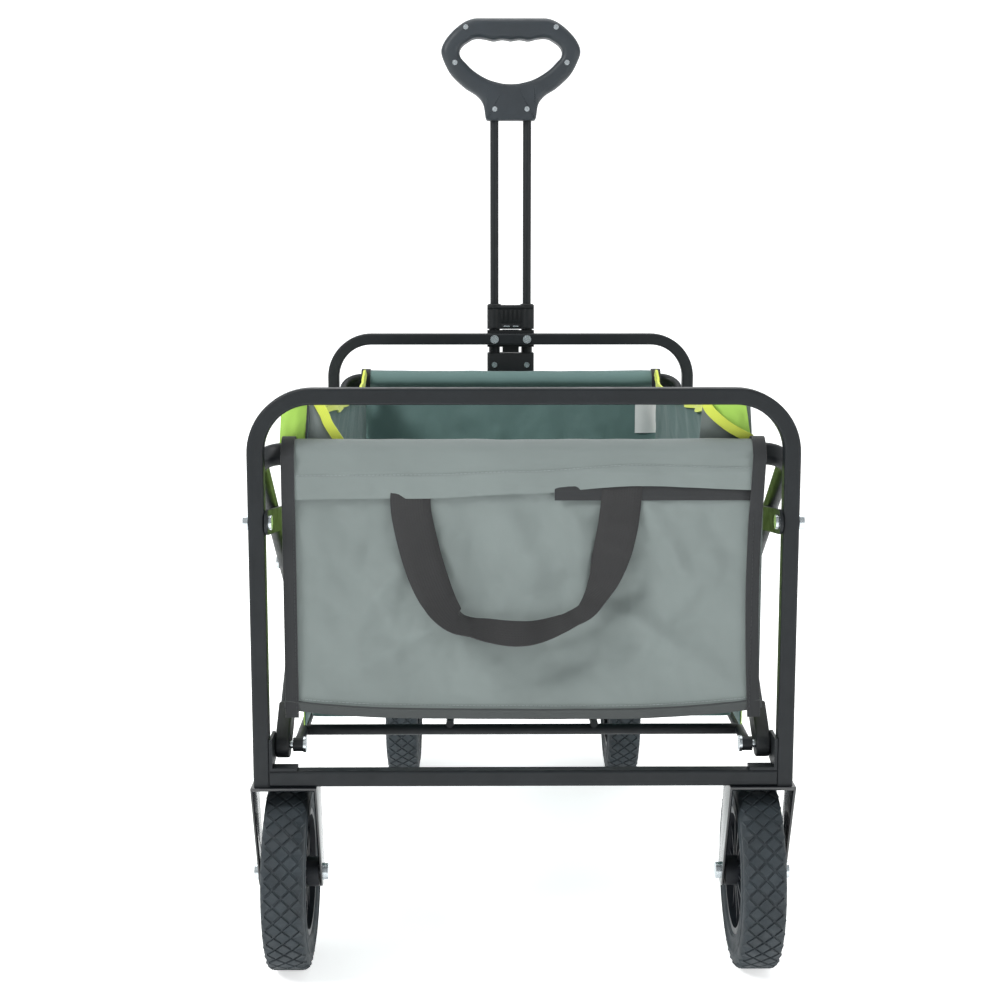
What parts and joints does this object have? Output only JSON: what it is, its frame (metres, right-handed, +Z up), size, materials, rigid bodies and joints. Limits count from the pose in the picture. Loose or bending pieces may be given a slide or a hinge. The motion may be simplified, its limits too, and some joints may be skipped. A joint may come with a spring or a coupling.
{
  "type": "folding camp wagon",
  "caption": "Folding wagon with two hoop frames, scissor sides, fabric body, folding floor, casters and a telescoping pull handle.",
  "frame": {"origin": "on the ground, at the middle of the wagon's footprint, with all four wheels on the ground", "axes": "+X to the right seen from the rear, +Y towards the pull handle, +Z up"},
  "size_m": [0.546, 0.9703, 1.043],
  "materials": {
    "frame_black": "satin powder coat",
    "fork_black": "gloss enamel",
    "fastener_zinc": "bright zinc",
    "fitting_black": "moulded",
    "grip_black": "fine texture",
    "tread": "moulded tread",
    "wheel_centre": "moulded",
    "body_grey": "woven polyester",
    "lining_teal": "woven polyester",
    "webbing_black": "ribbed webbing"
  },
  "bodies": {
    "rear_frame": {"rear_hoop": "frame_black", "rear_crossbar": "frame_black", "rear_brackets": "frame_black", "rear_fork_left": "fork_black", "rear_fork_right": "fork_black", "rear_axles": "fastener_zinc", "rear_stay_bolts": "fastener_zinc", "rear_pivot_pins": "fastener_zinc"},
    "rear_wheel_left": {"rear_tyre_left": "tread", "rear_rim_left": "wheel_centre"},
    "rear_wheel_right": {"rear_tyre_right": "tread", "rear_rim_right": "wheel_centre"},
    "rear_legs": {"rear_risers": "frame_black", "rear_riser_ends": "fitting_black", "rear_riser_pins": "fastener_zinc"},
    "rear_cross": {"rear_cross_tube": "frame_black", "centre_pins": "fastener_zinc"},
    "rear_hem": {"rear_panel": "body_grey", "carry_strap": "webbing_black", "side_walls": "lining_teal"},
    "front_legs": {"front_risers": "frame_black", "front_riser_ends": "fitting_black", "front_riser_pins": "fastener_zinc"},
    "front_cross": {"front_cross_tube": "frame_black"},
    "front_hem": {"front_panel": "body_grey"},
    "front_frame": {"front_hoop": "frame_black", "front_crossbar": "frame_black", "front_brackets": "frame_black", "caster_mounts": "frame_black", "kingpins": "fastener_zinc", "front_bolts": "fastener_zinc", "front_pivot_pins": "fastener_zinc", "handle_clip": "fitting_black", "handle_bracket": "frame_black", "handle_pivot_pin": "fastener_zinc"},
    "rear_floor": {"rear_floor_frame": "frame_black", "rear_mat": "lining_teal", "mat_middle": "lining_teal"},
    "front_floor": {"front_floor_frame": "frame_black", "front_mat": "lining_teal"},
    "rear_stays": {"rear_stay_links": "frame_black"},
    "front_stays": {"front_stay_links": "frame_black"},
    "caster_left": {"caster_fork_left": "fork_black", "caster_axle_left": "fastener_zinc"},
    "caster_right": {"caster_fork_right": "fork_black", "caster_axle_right": "fastener_zinc"},
    "front_wheel_left": {"front_tyre_left": "tread", "front_rim_left": "wheel_centre"},
    "front_wheel_right": {"front_tyre_right": "tread", "front_rim_right": "wheel_centre"},
    "handle_lower": {"handle_yoke": "fitting_black", "lower_tubes": "frame_black", "lower_clamp": "fitting_black", "clamp_screws": "fastener_zinc", "lock_housing": "fitting_black"},
    "handle_upper": {"rods": "frame_black", "grip_rear_shell": "grip_black", "grip_front_shell": "grip_black", "grip_screws": "fastener_zinc"},
    "lock_button": {"release_button": "fitting_black"}
  },
  "joints": [
    {"name": "fold", "type": "hinge", "parent": "rear_frame", "child": "rear_legs", "pos_m": [0, -0.416, 0.24], "axis": [1, 0, 0], "range_deg": [0, 47], "deforming": ["side_walls", "mat_middle"]},
    {"name": "rear_crossing", "type": "hinge", "parent": "rear_legs", "child": "rear_cross", "pos_m": [0, -0.208, 0.38575], "axis": [1, 0, 0], "range_deg": [-94, 0]},
    {"name": "rear_hem_turn", "type": "hinge", "parent": "rear_cross", "child": "rear_hem", "pos_m": [0, -0.416, 0.5315], "axis": [1, 0, 0], "range_deg": [0, 47]},
    {"name": "centre_top_pivot", "type": "hinge", "parent": "rear_legs", "child": "front_legs", "pos_m": [0, 0, 0.5315], "axis": [1, 0, 0], "range_deg": [-94, 0]},
    {"name": "front_crossing", "type": "hinge", "parent": "front_legs", "child": "front_cross", "pos_m": [0, 0.208, 0.38575], "axis": [1, 0, 0], "range_deg": [0, 94]},
    {"name": "front_hem_turn", "type": "hinge", "parent": "front_cross", "child": "front_hem", "pos_m": [0, 0.416, 0.5315], "axis": [1, 0, 0], "range_deg": [-47, 0]},
    {"name": "front_bottom_pivot", "type": "hinge", "parent": "front_legs", "child": "front_frame", "pos_m": [0, 0.416, 0.24], "axis": [1, 0, 0], "range_deg": [0, 47]},
    {"name": "rear_floor_fold", "type": "hinge", "parent": "rear_frame", "child": "rear_floor", "pos_m": [0, -0.416, 0.24], "axis": [1, 0, 0], "range_deg": [0, 85]},
    {"name": "front_floor_fold", "type": "hinge", "parent": "front_frame", "child": "front_floor", "pos_m": [0, 0.416, 0.24], "axis": [1, 0, 0], "range_deg": [-85, 0]},
    {"name": "rear_stay_turn", "type": "hinge", "parent": "rear_frame", "child": "rear_stays", "pos_m": [0, -0.44, 0.468], "axis": [1, 0, 0], "range_deg": [0, 79.28]},
    {"name": "front_stay_turn", "type": "hinge", "parent": "front_frame", "child": "front_stays", "pos_m": [0, 0.44, 0.468], "axis": [1, 0, 0], "range_deg": [-79.28, 0]},
    {"name": "rear_wheel_left_spin", "type": "hinge", "parent": "rear_frame", "child": "rear_wheel_left", "pos_m": [-0.2355, -0.39, 0.098], "axis": [1, 0, 0], "continuous": true},
    {"name": "caster_left_swivel", "type": "hinge", "parent": "front_frame", "child": "caster_left", "pos_m": [-0.15, 0.33, 0.2], "axis": [0, 0, 1], "continuous": true},
    {"name": "front_wheel_left_spin", "type": "hinge", "parent": "caster_left", "child": "front_wheel_left", "pos_m": [-0.15, 0.265, 0.098], "axis": [1, 0, 0], "continuous": true},
    {"name": "rear_wheel_right_spin", "type": "hinge", "parent": "rear_frame", "child": "rear_wheel_right", "pos_m": [0.2355, -0.39, 0.098], "axis": [1, 0, 0], "continuous": true},
    {"name": "caster_right_swivel", "type": "hinge", "parent": "front_frame", "child": "caster_right", "pos_m": [0.15, 0.33, 0.2], "axis": [0, 0, 1], "continuous": true},
    {"name": "front_wheel_right_spin", "type": "hinge", "parent": "caster_right", "child": "front_wheel_right", "pos_m": [0.15, 0.265, 0.098], "axis": [1, 0, 0], "continuous": true},
    {"name": "handle_tilt", "type": "hinge", "parent": "front_frame", "child": "handle_lower", "pos_m": [0, 0.4703, 0.214], "axis": [-1, 0, 0], "range_deg": [0, 95]},
    {"name": "handle_slide", "type": "slide", "parent": "handle_lower", "child": "handle_upper", "axis": [0, 0, 1], "range_m": [-0.25, 0]},
    {"name": "release_press", "type": "slide", "parent": "handle_lower", "child": "lock_button", "axis": [0, -1, 0], "range_m": [0, 0.003], "stiffness_N_per_m": 800}
  ],
  "couplings": [
    {"joint": "rear_crossing", "follows": "fold", "ratio": -2},
    {"joint": "rear_hem_turn", "follows": "fold", "ratio": 1},
    {"joint": "centre_top_pivot", "follows": "fold", "ratio": -2},
    {"joint": "front_crossing", "follows": "fold", "ratio": 2},
    {"joint": "front_hem_turn", "follows": "fold", "ratio": -1},
    {"joint": "front_bottom_pivot", "follows": "fold", "ratio": 1},
    {"joint": "rear_floor_fold", "follows": "fold", "ratio": 1.8085},
    {"joint": "front_floor_fold", "follows": "fold", "ratio": -1.8085},
    {"joint": "rear_stay_turn", "follows": "fold", "ratio": 1.6868},
    {"joint": "front_stay_turn", "follows": "fold", "ratio": -1.6868}
  ]
}
